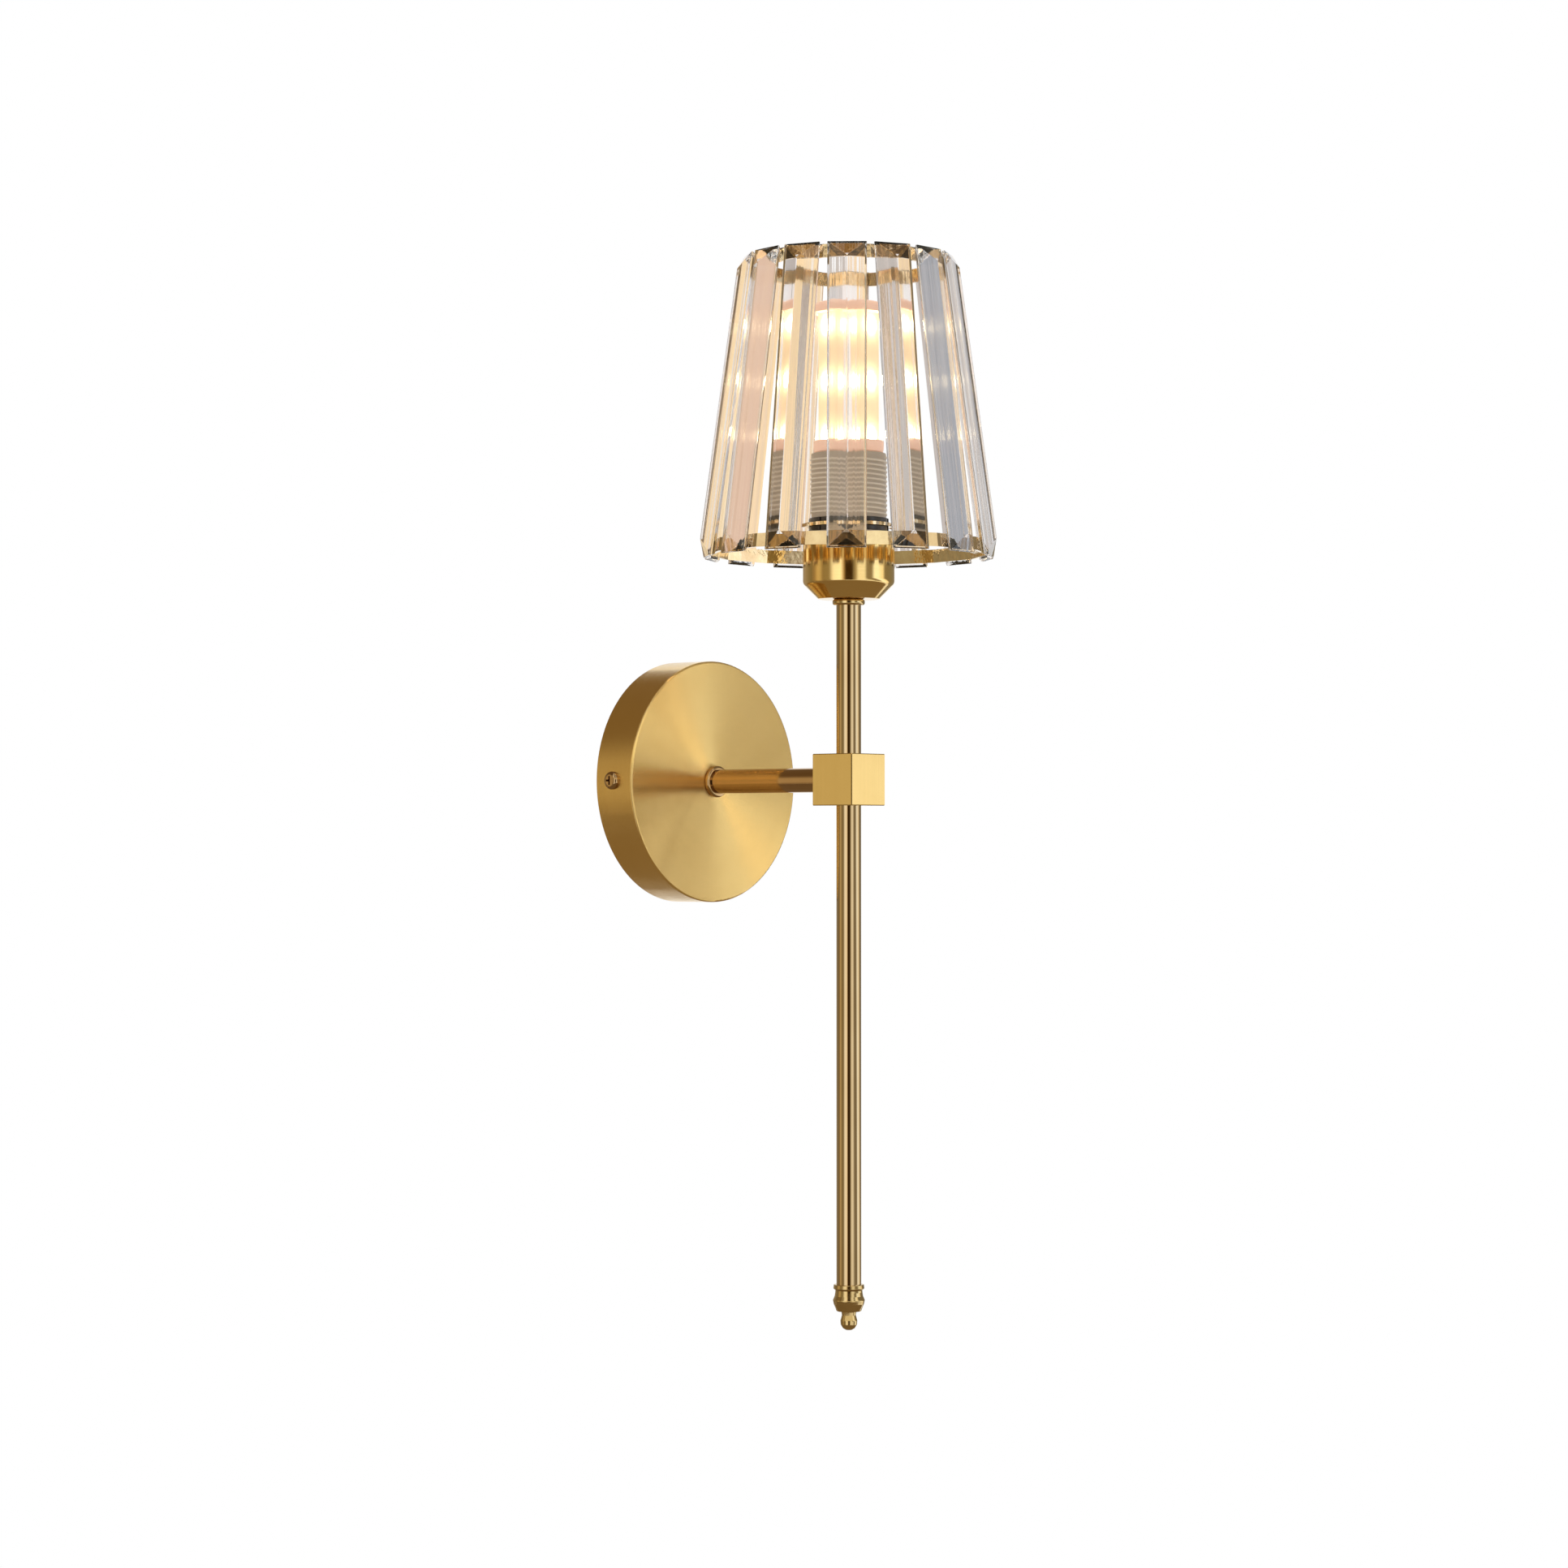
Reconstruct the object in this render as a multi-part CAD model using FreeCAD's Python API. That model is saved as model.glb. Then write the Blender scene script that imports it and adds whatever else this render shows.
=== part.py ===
import FreeCAD
import Part
import math
import os

os.makedirs("parts", exist_ok=True)

# Wall sconce: origin on the wall behind the middle of the canopy, +Z up, the room towards -Y.
# All lengths are in millimetres and all angles in degrees.

V = FreeCAD.Vector
X, Y, Z = V(1, 0, 0), V(0, 1, 0), V(0, 0, 1)
ORIGIN = V(0, 0, 0)

# Canopy on the wall
canopy_diameter = 120.0
canopy_depth = 23.6
canopy_wall = 1.2
canopy_edge = 1.2

# Arm, cube and rods
reach = 87.7
tube_diameter = 12.0
tube_wall = 0.95
cube_size = 25.0
cube_chamfer = 0.4
lower_rod_end = -243.0
upper_rod_end = 84.2
collar_diameter = 15.7
collar_height = 3.0

# Hollow threaded pipes that join the tubes
nipple_diameter = 10.0
nipple_bore = 7.0
nut_across = 14.0
nut_height = 3.5

# Cup under the shade
cup_diameter = 44.4
cup_floor_diameter = 29.4
cup_top = 113.5
cup_wall = 1.2
cup_cone = 7.4

# Lampholder with a threaded skirt
base_diameter = 36.0
base_height = 24.0
skirt_diameter = 36.3
skirt_top = 157.5
holder_wall = 1.6
shell_bore = 26.7

# Clamped shade
ring_nut_diameter = 38.6
ring_nut_height = 2.4
carrier_height = 122.1
carrier_thickness = 1.6
carrier_hub_diameter = 41.6
carrier_bars = (0, 4, 7, 11)
bar_count = 14
bar_length = 147.3
bar_width = 18.6
bar_depth = 7.0
bar_ridge = 4.5
bar_end_bevel = 8.0
bar_low_radius = 74.0
bar_low_height = 107.6
bar_lean = 7.88
first_bar_angle = 219.7
ring_height = 6.4
ring_wall = 2.0

# Lamp
lamp_diameter = 34.0
lamp_foot = 129.6
lamp_top = 230.5
lamp_rows = (165.6, 192.2, 219.0)
lamp_sides = 6
chip_size = 4.6

# Bracket, screws and leads behind the canopy
bracket_height = 16.0
bracket_thickness = 2.0
slot_spacing = 70.0
slot_length = 14.0
slot_width = 4.5
side_screw_diameter = 5.0
side_screw_depth = 11.0
lead_diameter = 1.8
lead_offset = 1.3

# Clearances
turning = 0.05
glue = 0.05
small_gap = 0.3

canopy_radius = canopy_diameter / 2
rod_y = -(canopy_depth + reach)
tube_radius = tube_diameter / 2
tube_bore = tube_radius - tube_wall
nipple_radius = nipple_diameter / 2
half_cube = cube_size / 2
collar_top = upper_rod_end + collar_height
skirt_radius = skirt_diameter / 2
skirt_bore = skirt_radius - holder_wall
lean = math.radians(bar_lean)
step = 360.0 / bar_count


def save(name, shape):
    """Writes one piece, or one group of like pieces, as its own file."""
    shape.exportStep("parts/" + name + ".step")


def at_rod(height):
    """A point on the axis of the rods."""
    return V(0, rod_y, height)


def rod(start, end, radius, axis_point=None, along=Z):
    """A round bar between two stations on an axis."""
    base = (axis_point or at_rod(0)) + along * start
    return Part.makeCylinder(radius, end - start, base, along)


def pipe(start, end, radius, bore, axis_point=None, along=Z):
    """A round tube between two stations on an axis."""
    inner = rod(start - 1, end + 1, bore, axis_point, along)
    return rod(start, end, radius, axis_point, along).cut(inner)


def hexagon(start, end, across, bore, axis_point=None, along=Z):
    """A plain hexagon nut between two stations on an axis."""
    corner = across / math.sqrt(3)
    points = [V(corner * math.cos(a), corner * math.sin(a), 0)
              for a in (math.radians(60 * k + 30) for k in range(7))]
    nut = Part.Face(Part.makePolygon(points)).extrude(Z * (end - start))
    nut.Placement = FreeCAD.Placement(
        (axis_point or at_rod(0)) + along * start, FreeCAD.Rotation(Z, along))
    return nut.cut(rod(start - 1, end + 1, bore, axis_point, along))


def rounded_outline(corners):
    """A closed outline of (across, along, rounding) corners in the XZ plane."""
    edges, count, ends = [], len(corners), []
    for k in range(count):
        before, here, after = (V(c[0], 0, c[1]) for c in
                               (corners[k - 1], corners[k], corners[(k + 1) % count]))
        radius = corners[k][2] if len(corners[k]) > 2 else 0
        if radius == 0:
            ends.append((here, None, here))
            continue
        to_before, to_after = (before - here).normalize(), (after - here).normalize()
        half = to_before.getAngle(to_after) / 2
        reach_back = radius / math.tan(half)
        middle = (to_before + to_after).normalize()
        bulge = here + middle * (radius / math.sin(half) - radius)
        ends.append((here + to_before * reach_back, bulge, here + to_after * reach_back))
    for k in range(count):
        first, bulge, last = ends[k]
        if bulge is not None:
            edges.append(Part.Arc(first, bulge, last).toShape())
        following = ends[(k + 1) % count][0]
        if last.distanceToPoint(following) > 1e-6:
            edges.append(Part.makeLine(last, following))
    return Part.Wire(edges)


def turned(corners, axis_point=None, along=Z):
    """A solid turned about an axis from (radius, station, rounding) corners."""
    body = Part.Face(rounded_outline(corners)).revolve(ORIGIN, Z, 360)
    body.Placement = FreeCAD.Placement(axis_point or at_rod(0), FreeCAD.Rotation(Z, along))
    return body


def box(x, y, z):
    """A block between pairs of limits."""
    return Part.makeBox(x[1] - x[0], y[1] - y[0], z[1] - z[0], V(x[0], y[0], z[0]))


def around(shape, angle):
    """A copy turned about the rod axis."""
    copy = shape.copy()
    copy.rotate(at_rod(0), Z, angle)
    return copy


def slot(x, z, length, width, y):
    """A round-ended slot through the bracket, along X."""
    half = (length - width) / 2
    hole = box((x - half, x + half), y, (z - width / 2, z + width / 2))
    for side in (-1, 1):
        hole = hole.fuse(Part.makeCylinder(width / 2, y[1] - y[0], V(x + side * half, y[0], z), Y))
    return hole


def lead(points):
    """A covered wire through the points, with round corners."""
    radius = lead_diameter / 2
    wire = Part.makeSphere(radius, points[0])
    for start, end in zip(points, points[1:]):
        piece = Part.makeCylinder(radius, start.distanceToPoint(end), start, end - start)
        wire = wire.fuse([piece, Part.makeSphere(radius, end)])
    return wire


# ---------------------------------------------------------------- bracket and canopy

inner_canopy = canopy_radius - canopy_wall
ear_outside = inner_canopy - 0.8
ear_depth = side_screw_depth + 6
screw_radius = side_screw_diameter / 2
earth_x = -18.0
lug = 0.8
half_band = bracket_height / 2


def make_bracket():
    strip = box((-ear_outside, ear_outside), (-bracket_thickness, 0), (-half_band, half_band))
    for side in (-1, 1):
        near, far = sorted((side * (ear_outside - bracket_thickness), side * ear_outside))
        ear = box((near, far), (-ear_depth, 0), (-7, 7))
        strip = strip.fuse(ear)
    for side in (-1, 1):
        strip = strip.cut(slot(side * slot_spacing / 2, 0, slot_length, slot_width,
                               (-bracket_thickness - 1, 1)))
        strip = strip.cut(Part.makeCylinder(screw_radius + turning, 10,
                                            V(side * ear_outside - 5, -side_screw_depth, 0), X))
    strip = strip.cut(Part.makeCylinder(2 + turning, 6, V(earth_x, 1, 0), V(0, -1, 0)))
    strip = strip.cut(Part.makeCylinder(nipple_radius, 6, V(0, 1, 0), V(0, -1, 0)))
    return strip.removeSplitter()


def make_canopy():
    wall, depth, edge = canopy_wall, canopy_depth, canopy_edge
    shell = turned([(nipple_radius + 0.2, depth), (canopy_radius, depth, edge), (canopy_radius, 0),
                    (canopy_radius - wall, 0), (canopy_radius - wall, depth - wall, edge - wall),
                    (nipple_radius + 0.2, depth - wall)], ORIGIN, V(0, -1, 0))
    for side in (-1, 1):
        hole = Part.makeCylinder(screw_radius + 0.2, 10,
                                 V(side * canopy_radius - 5, -side_screw_depth, 0), X)
        shell = shell.cut(hole)
    return shell


def make_side_screw(side):
    shank = 7.0
    out = V(side, 0, 0)
    start = V(side * canopy_radius, -side_screw_depth, 0)
    screw = turned([(0, 2.6), (4.4, 2.6, 1.9), (4.4, 0), (screw_radius, 0),
                    (screw_radius, -shank), (0, -shank)], start, out)
    recess = box((-0.5, 0.5), (-2.2, 2.2), (1.2, 3)).fuse(box((-2.2, 2.2), (-0.5, 0.5), (1.2, 3)))
    recess.Placement = FreeCAD.Placement(start, FreeCAD.Rotation(Z, out))
    return screw.cut(recess)


face_inside = canopy_depth - canopy_wall
washer_thickness = 0.9
washer = pipe(face_inside - washer_thickness, face_inside, 9.0, nipple_radius + turning,
              ORIGIN, V(0, -1, 0))
for k in range(12):
    notch = box((7.4, 10), (-0.7, 0.7), (-1, 1))
    notch.rotate(ORIGIN, Z, 30 * k)
    notch.rotate(ORIGIN, X, 90)
    notch.translate(V(0, -face_inside + 0.5, 0))
    washer = washer.cut(notch)
nut_end = face_inside - washer_thickness
canopy_nut = hexagon(nut_end - nut_height, nut_end, nut_across, nipple_radius + turning,
                     ORIGIN, V(0, -1, 0))
arm_start = canopy_depth + collar_height
arm_end = -rod_y - half_cube

save("wall_bracket", make_bracket())
save("canopy", make_canopy())
save("side_screw_left", make_side_screw(-1))
save("side_screw_right", make_side_screw(1))
save("canopy_lock_washer", washer)
save("canopy_nut", canopy_nut)

# ---------------------------------------------------------------- arm, cube and rods

OUT = V(0, -1, 0)


def make_collar(start, axis_point, along):
    height, radius = collar_height, collar_diameter / 2
    bore = nipple_radius + turning
    return turned([(bore, start), (radius, start, 1.2), (radius, start + height, 1.2),
                   (bore, start + height)], axis_point, along)


def make_cube():
    h = half_cube
    cube = box((-h, h), (rod_y - h, rod_y + h), (-h, h))
    cube = cube.makeChamfer(cube_chamfer, cube.Edges)
    bore = nipple_radius + turning
    cube = cube.cut(rod(-h - 1, h + 1, bore))
    return cube.cut(rod(-rod_y - h - 1, -rod_y, bore, ORIGIN, OUT))


def make_finial():
    base = lower_rod_end
    stud = 4.0
    steps = [(0, 12), (stud, 12), (stud, 0), (7.3, 0, 0.3), (7.5, -2.0, 0.6), (6.6, -2.8),
             (6.6, -3.8), (6.9, -5.6), (7.75, -7.5, 0.9), (7.35, -9.4, 1.5), (6.5, -11.4),
             (6.0, -12.8, 0.3), (3.6, -13.3), (3.4, -14.8), (4.1, -17.4, 1.2), (3.95, -19.4, 1.0),
             (2.9, -21.1, 0.8), (1.5, -21.9, 0.3), (0, -22.0)]
    return turned([(s[0], s[1] + base) + tuple(s[2:]) for s in steps])


nipple_entry = 7.0
nipple_length = nipple_entry + 12.0
cube_nipples = Part.makeCompound([
    pipe(arm_end - 12, arm_end + nipple_entry, nipple_radius, nipple_bore / 2, ORIGIN, OUT),
    pipe(half_cube - nipple_entry, half_cube + 12, nipple_radius, nipple_bore / 2),
    pipe(-half_cube - 12, -half_cube + nipple_entry, nipple_radius, nipple_bore / 2)])

save("arm_nipple", pipe(14, canopy_depth + collar_height + 14, nipple_radius, nipple_bore / 2,
                        ORIGIN, OUT))
save("arm_collar", make_collar(canopy_depth, ORIGIN, OUT))
save("arm_tube", pipe(arm_start, arm_end, tube_radius, tube_bore, ORIGIN, OUT))
save("cube_nipples", cube_nipples)
save("cube_connector", make_cube())
save("upper_rod", pipe(half_cube, upper_rod_end, tube_radius, tube_bore))
save("lower_rod", pipe(lower_rod_end, -half_cube, tube_radius, tube_bore))
save("finial_bush", pipe(lower_rod_end + 0.2, lower_rod_end + 14, tube_bore - turning, 4 + turning))
save("finial", make_finial())
save("rod_top_collar", make_collar(upper_rod_end, None, Z))

# ---------------------------------------------------------------- cup and lampholder

cup_radius = cup_diameter / 2
cup_floor = cup_floor_diameter / 2
cup_nut_base = collar_top + cup_wall
base_bottom = cup_nut_base + nut_height + 0.2
base_top = base_bottom + base_height
top_nipple_end = base_bottom + 7.0
base_radius = base_diameter / 2
base_bore = base_radius - holder_wall
block_bottom = 121.0
block_top = 125.0
spigot = 4.0


def make_cup():
    w, bottom, shoulder = cup_wall, collar_top, collar_top + cup_cone
    return turned([(nipple_radius + 0.2, bottom), (cup_floor, bottom, 0.8),
                   (cup_radius, shoulder, 3.5), (cup_radius, cup_top),
                   (cup_radius - w, cup_top), (cup_radius - w, shoulder + 0.5, 1.3),
                   (cup_floor - 0.5, bottom + w), (nipple_radius + 0.2, bottom + w)])


def make_base():
    floor = 2.4
    cap = turned([(nipple_radius + turning, base_bottom), (base_radius - 5, base_bottom, 1.5),
                  (base_radius, base_bottom + 6, 2.0), (base_radius, base_top),
                  (base_bore, base_top), (base_bore, base_bottom + 6.8, 1.5),
                  (base_radius - 6.0, base_bottom + floor),
                  (8.2, base_bottom + floor), (8.2, base_bottom + 7.6),
                  (nipple_radius + turning, base_bottom + 7.6)])
    return cap


def make_skirt():
    low = base_top - spigot
    outer_spigot = base_bore - 0.05
    return turned([(outer_spigot - 1.4, low), (outer_spigot, low), (outer_spigot, base_top),
                   (skirt_radius, base_top, 0.3), (skirt_radius, skirt_top, 0.5),
                   (skirt_bore, skirt_top, 0.3), (skirt_bore, block_top + 1),
                   (outer_spigot - 1.4, block_top + 1)])


def make_block():
    radius = base_bore - 1.45 - 0.1
    block = turned([(0, block_bottom - 7), (10.5, block_bottom - 7), (10.5, block_bottom - 2),
                    (radius, block_bottom - 2), (radius, block_top), (0, block_top)])
    for side in (-1, 1):
        well = rod(block_bottom - 8, block_top + 1, 1.15, at_rod(0) + V(side * 6.5, 0, 0))
        block = block.cut(well)
        screw_hole = Part.makeCylinder(1.5 + turning, 8, at_rod(block_bottom - 4.5)
                                       + V(side * 6.5, 0, 0), V(side, 0, 0))
        block = block.cut(screw_hole)
    return block


def make_screw_shell():
    bore = shell_bore / 2
    shell = pipe(block_top, block_top + 27.5, bore + 0.4, bore)
    flange = pipe(block_top, block_top + 0.5, 14.8, 8.0)
    return shell.fuse(flange).removeSplitter()


def make_centre_contact():
    foot = rod(block_top, block_top + 0.6, 5.0)
    spring = turned([(0, block_top + 0.6), (2.4, block_top + 0.6), (3.2, lamp_foot - 1.0),
                     (3.2, lamp_foot - 0.1), (0, lamp_foot - 0.1)])
    return foot.fuse(spring).removeSplitter()


def make_terminal_screw(side):
    start = at_rod(block_bottom - 4.5) + V(side * 10.5, 0, 0)
    return turned([(0, 1.4), (2.4, 1.4, 0.5), (2.4, 0), (1.5, 0), (1.5, -2.8), (0, -2.8)],
                  start, V(side, 0, 0))


save("lampholder_cup", make_cup())
save("cup_nut", hexagon(cup_nut_base, cup_nut_base + nut_height, nut_across,
                        nipple_radius + turning))
save("top_nipple", pipe(upper_rod_end - 13, top_nipple_end, nipple_radius, nipple_bore / 2))
save("lampholder_base", make_base())
save("lampholder_skirt", make_skirt())
save("contact_block", make_block())
save("screw_shell", make_screw_shell())
save("centre_contact", make_centre_contact())
save("holder_terminal_screws", Part.makeCompound([make_terminal_screw(s) for s in (-1, 1)]))

# ---------------------------------------------------------------- shade

thread_gap = turning + 0.02
carrier_top = carrier_height + carrier_thickness


def outer_at(height):
    """Distance from the rod axis to the ridge line of the bars, at a height."""
    return bar_low_radius - (height - bar_low_height) * math.tan(lean)


def back_at(height):
    """Distance from the rod axis to the flat backs of the bars."""
    return outer_at(height) - bar_depth / math.cos(lean)


def make_ring_nut(low):
    edge = 0.4
    nut = turned([(skirt_radius + thread_gap, low), (ring_nut_diameter / 2, low, edge),
                  (ring_nut_diameter / 2, low + ring_nut_height, edge),
                  (skirt_radius + thread_gap, low + ring_nut_height)])
    for k in range(6):
        grip = box((ring_nut_diameter / 2 - 0.7, ring_nut_diameter),
                   (rod_y - 2, rod_y + 2), (low - 1, low + ring_nut_height + 1))
        nut = nut.cut(around(grip, 60 * k))
    return nut


def make_bar():
    """One bar standing at the rod axis, ridge towards +X, ready to be turned into place."""
    half, edge = bar_width / 2, 0.8
    narrow = half - 1.4
    outline = [(0, 0), (-bar_ridge, half), (-bar_ridge - edge, half), (-bar_depth, narrow),
               (-bar_depth, -narrow), (-bar_ridge - edge, -half), (-bar_ridge, -half), (0, 0)]
    prism = Part.Face(Part.makePolygon([V(p[0], p[1], 0) for p in outline])).extrude(
        Z * bar_length)
    cut, back = bar_end_bevel, 1.2
    deep = bar_ridge + edge
    side = [(0, cut), (0, bar_length - cut), (-bar_ridge, bar_length), (-deep, bar_length),
            (-bar_depth, bar_length - back), (-bar_depth, back), (-deep, 0), (-bar_ridge, 0),
            (0, cut)]
    profile = Part.Face(Part.makePolygon([V(p[0], -20, p[1]) for p in side])).extrude(Y * 40)
    bar = prism.common(profile)
    bar.rotate(ORIGIN, Y, -bar_lean)
    bar.translate(V(bar_low_radius, rod_y, bar_low_height))
    return bar


def make_ring(low):
    """A band with one flat behind each bar, leaning with the bars."""
    solids = []
    for inset in (glue, glue + ring_wall):
        loops = []
        for height in (low, low + ring_height):
            flat = back_at(height) - inset / math.cos(lean)
            corner = flat / math.cos(math.radians(step / 2))
            angles = [math.radians(first_bar_angle + step * (k + 0.5))
                      for k in range(bar_count + 1)]
            loops.append(Part.makePolygon(
                [at_rod(height) + V(corner * math.cos(a), corner * math.sin(a), 0)
                 for a in angles]))
        solids.append(Part.makeLoft(loops, True, True))
    return solids[0].cut(solids[1])


def make_carrier(ring_low):
    hub_radius = carrier_hub_diameter / 2
    inside = (hub_radius + skirt_radius + small_gap) / 2
    hub = pipe(carrier_height, carrier_top, hub_radius, skirt_radius + small_gap)
    low, high = ring_low + 1.6, ring_low + 4.2

    def end(height):
        return back_at(height) - (glue + ring_wall) / math.cos(lean) - 0.02

    points = [(inside, carrier_height), (hub_radius, carrier_height), (end(low), low),
              (end(high), high), (hub_radius, carrier_top), (inside, carrier_top),
              (inside, carrier_height)]
    arm = Part.Face(Part.makePolygon([V(p[0], -5, p[1]) for p in points])).extrude(Y * 10)
    arm.translate(V(0, rod_y, 0))
    for number in carrier_bars:
        hub = hub.fuse(around(arm, first_bar_angle + step * number))
    return hub.removeSplitter()


bottom_ring_low = bar_low_height + 1.0
top_ring_low = bar_low_height + bar_length * math.cos(lean) - ring_height - 1.6
bar = make_bar()

save("lower_ring_nut", make_ring_nut(carrier_height - ring_nut_height))
save("upper_ring_nut", make_ring_nut(carrier_top))
save("shade_carrier", make_carrier(bottom_ring_low))
save("bottom_ring", make_ring(bottom_ring_low))
save("top_ring", make_ring(top_ring_low))
for number in range(bar_count):
    save("crystal_bar_%02d" % (number + 1), around(bar, first_bar_angle + step * number))

# ---------------------------------------------------------------- lamp

lamp_radius = lamp_diameter / 2
cap_radius = 13.2
housing_base = skirt_top + 0.4
housing_top = 163.4
core_flat = 12.6
core_top = lamp_top - 5.0
cap_top = housing_base


def make_core():
    corner = core_flat / math.cos(math.pi / lamp_sides)
    points = [at_rod(housing_top) + V(corner * math.cos(a), corner * math.sin(a), 0)
              for a in (math.radians(first_bar_angle + (k + 0.5) * 360 / lamp_sides)
                        for k in range(lamp_sides + 1))]
    return Part.Face(Part.makePolygon(points)).extrude(Z * (core_top - housing_top))


def make_chips():
    chips = []
    for row in lamp_rows:
        low = max(row - chip_size / 2, housing_top + 0.2)
        chip = box((core_flat, core_flat + 1.2), (rod_y - chip_size / 2, rod_y + chip_size / 2),
                   (low, low + chip_size))
        for k in range(lamp_sides):
            chips.append(around(chip, first_bar_angle + k * 360 / lamp_sides))
    return Part.makeCompound(chips)


save("lamp_tip_contact", turned([(0, lamp_foot), (3.4, lamp_foot, 0.4), (4.6, lamp_foot + 1.1),
                                 (0, lamp_foot + 1.1)]))
save("lamp_insulator", turned([(0, lamp_foot + 1.1), (4.6, lamp_foot + 1.1),
                               (11.0, lamp_foot + 4.0), (11.0, lamp_foot + 4.6),
                               (0, lamp_foot + 4.6)]))
save("lamp_screw_cap", turned([(11.0 + turning, lamp_foot + 4.0), (11.9, lamp_foot + 4.0, 0.3),
                               (cap_radius, lamp_foot + 6.4, 0.6), (cap_radius, cap_top),
                               (cap_radius - 0.5, cap_top),
                               (cap_radius - 0.5, lamp_foot + 7.0),
                               (11.0 + turning, lamp_foot + 4.7)]))
save("lamp_housing", turned([(0, housing_base), (lamp_radius - 0.4, housing_base, 0.6),
                             (lamp_radius, housing_base + 2, 0.6), (lamp_radius, housing_top),
                             (0, housing_top)]))
save("lamp_core", make_core())
save("lamp_led_chips", make_chips())
save("lamp_cover", pipe(housing_top, core_top, lamp_radius, lamp_radius - 1.0))
save("lamp_top_cap", turned([(0, core_top), (lamp_radius, core_top),
                             (lamp_radius, lamp_top, 2.5), (0, lamp_top)]))

# ---------------------------------------------------------------- electrical pieces

block_x = (6.5, 27.5)
block_depth = 12.0
way_x = (10.0, 17.0, 24.0)
way_y = -bracket_thickness - 6.0
hole_radius = 1.3


def make_terminal_block():
    body = box(block_x, (-bracket_thickness - block_depth, -bracket_thickness), (-8, 8))
    for x in way_x:
        body = body.cut(Part.makeCylinder(hole_radius, 20, V(x, way_y, -10), Z))
        for z in (-4.5, 4.5):
            mouth = V(x, -bracket_thickness - block_depth - 1, z)
            body = body.cut(Part.makeCylinder(1.6, 4, mouth, Y))
    return body


def make_earth_screw():
    base = bracket_thickness + lug
    return turned([(0, base + 2.6), (3.8, base + 2.6, 1.0), (3.8, base), (2, base), (2, 0.3),
                   (0, 0.3)], V(earth_x, 0, 0), V(0, -1, 0))


def make_earth_lead():
    near = -bracket_thickness - lug
    ring = box((earth_x - 2, earth_x + 2), (near, -bracket_thickness), (0, 11))
    ring = ring.fuse(Part.makeCylinder(4.4, lug, V(earth_x, near, 0), Y))
    ring = ring.cut(Part.makeCylinder(2 + turning, 6, V(earth_x, 1, 0), V(0, -1, 0)))
    y = near - 0.5
    path = lead([V(way_x[2], way_y, 3), V(way_x[2], way_y, 20), V(-12, way_y, 20),
                 V(earth_x, y, 14), V(earth_x, y, 7)])
    return ring.fuse(path).removeSplitter()


def make_main_lead(side, start):
    x, well = side * lead_offset, side * 6.5
    inside = [V(x, -9, 1.2), V(x, -13, 0), V(x, rod_y + 5, 0), V(x, rod_y + 1.2, 1.2),
              at_rod(5) + V(x, 0, 0), at_rod(top_nipple_end - 2) + V(x, 0, 0),
              at_rod(top_nipple_end + 4) + V(side * 2.5, 0, 0),
              at_rod(block_bottom - 10) + V(well, 0, 0),
              at_rod(block_bottom - 5.5) + V(well, 0, 0)]
    return lead(start + inside)


live_start = [V(way_x[0], way_y, 3), V(way_x[0], way_y, 11), V(5, way_y, 11), V(1.6, way_y, 6)]
neutral_start = [V(way_x[1], way_y, 3), V(way_x[1], way_y, 15), V(-1.5, way_y, 15),
                 V(-3.6, way_y, 8)]
save("terminal_block", make_terminal_block())
save("earth_screw", make_earth_screw())
save("earth_lead", make_earth_lead())
save("live_lead", make_main_lead(1, live_start))
save("neutral_lead", make_main_lead(-1, neutral_start))
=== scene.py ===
import logging
import math
from dataclasses import dataclass
from enum import Enum
from typing import Any, Sequence

import bmesh
import bpy
from mathutils import Matrix, Vector


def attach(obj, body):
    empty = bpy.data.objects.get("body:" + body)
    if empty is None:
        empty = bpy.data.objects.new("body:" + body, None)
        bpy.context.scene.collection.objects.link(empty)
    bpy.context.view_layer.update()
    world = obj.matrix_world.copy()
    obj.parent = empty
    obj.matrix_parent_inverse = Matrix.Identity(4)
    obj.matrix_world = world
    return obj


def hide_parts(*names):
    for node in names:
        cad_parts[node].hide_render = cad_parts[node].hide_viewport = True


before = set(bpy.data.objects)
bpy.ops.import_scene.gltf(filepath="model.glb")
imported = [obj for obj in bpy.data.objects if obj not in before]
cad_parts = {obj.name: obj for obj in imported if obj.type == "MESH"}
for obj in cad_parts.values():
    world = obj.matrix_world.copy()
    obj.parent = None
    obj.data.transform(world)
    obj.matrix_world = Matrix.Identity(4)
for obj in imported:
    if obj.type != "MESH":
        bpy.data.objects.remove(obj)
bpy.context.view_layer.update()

LOG = logging.getLogger("wall_sconce")
MM = 0.001
FULL_TURN = 2 * math.pi

# The Y of the rods' axis, the bearing of the first bar and of the first column of light points
# round it, in degrees from +X, and the number of bars.
ROD_Y = -0.1113
FIRST_ANGLE = 219.7
BAR_COUNT = 14

Colour = tuple[float, float, float]
Span = tuple[float, float]
Stops = Sequence[tuple[float, Colour]]

WHITE: Colour = (1.0, 1.0, 1.0)


class Grain(Enum):
    """How the lines of a finish run over a piece."""

    ROUND_FACE = "rings on a face that looks along Y"
    TURNED = "rings round the rods' axis"
    DRAWN_UP = "lines along Z"
    DRAWN_OUT = "lines along Y"
    NONE = "no lines, only a faint mottle"


# ---------------------------------------------------------------- node sheets


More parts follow.
